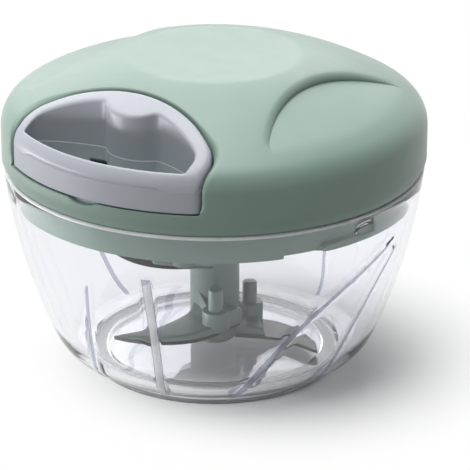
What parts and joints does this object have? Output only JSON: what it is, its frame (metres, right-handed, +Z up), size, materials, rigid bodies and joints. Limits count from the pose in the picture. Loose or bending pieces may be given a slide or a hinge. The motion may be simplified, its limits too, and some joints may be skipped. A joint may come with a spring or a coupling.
{
  "type": "pull-string food chopper",
  "caption": "Hand food chopper: clear round bowl, domed bayonet lid with a cord reel, a docked D-shaped pull handle, and sickle blades on a central shaft.",
  "frame": {"origin": "centre of the bowl's foot, on the plane that it stands on", "axes": "+Z up along the blade shaft's axis, -Y the way the handle is pulled"},
  "size_m": [0.125, 0.125, 0.0953],
  "materials": {
    "clear_plastic": "clear, glossy",
    "lid_plastic": "fine matte, sage green",
    "handle_plastic": "satin, light grey",
    "shaft_plastic": "satin, grey green",
    "bush_plastic": "natural acetal",
    "white_plastic": "moulded white",
    "socket_plastic": "moulded dark grey",
    "blade_steel": "ground stainless",
    "steel": "bright turned",
    "cord": "braided"
  },
  "bodies": {
    "bowl": {"bowl": "clear_plastic", "pivot_pin": "steel"},
    "axle": {"spindle": "steel", "spindle_washer": "steel", "spindle_screw": "steel"},
    "lid": {"lid_cover": "lid_plastic", "lid_base": "lid_plastic", "lid_screws": "steel", "cord_guide": "white_plastic", "spiral_spring": "steel", "cord_lead": "cord"},
    "reel": {"cord_reel": "white_plastic", "drive_socket": "socket_plastic", "socket_screws": "steel", "spring_cover": "white_plastic", "cord_winding": "cord"},
    "handle": {"handle_top": "handle_plastic", "handle_bottom": "handle_plastic", "handle_screws": "steel", "cord_knot": "cord"},
    "blade_unit": {"blade_carrier": "shaft_plastic", "shaft_bush": "bush_plastic", "blade_shaft": "shaft_plastic", "blade_low": "blade_steel", "blade_mid": "blade_steel", "blade_high": "blade_steel"}
  },
  "joints": [
    {"name": "lid_lift", "type": "slide", "parent": "bowl", "child": "axle", "axis": [0, 0, 1], "range_m": [0, 0.11]},
    {"name": "lid_turn", "type": "hinge", "parent": "axle", "child": "lid", "pos_m": [0, 0, 0.08], "axis": [0, 0, 1], "range_deg": [0, 20]},
    {"name": "reel_spin", "type": "hinge", "parent": "lid", "child": "reel", "pos_m": [0, 0, 0.072], "axis": [0, 0, 1], "continuous": true, "deforming": ["spiral_spring"]},
    {"name": "handle_pull", "type": "slide", "parent": "lid", "child": "handle", "axis": [0, -1, 0], "range_m": [0, 0.4], "stiffness_N_per_m": 12, "springref_m": -0.25, "deforming": ["cord_lead"]},
    {"name": "blade_spin", "type": "hinge", "parent": "bowl", "child": "blade_unit", "pos_m": [0, 0, 0.015], "axis": [0, 0, 1], "continuous": true}
  ],
  "couplings": [
    {"joint": "reel_spin", "follows": "handle_pull", "rad_per_m": 43.956},
    {"joint": "blade_spin", "follows": "handle_pull", "rad_per_m": 43.956}
  ]
}
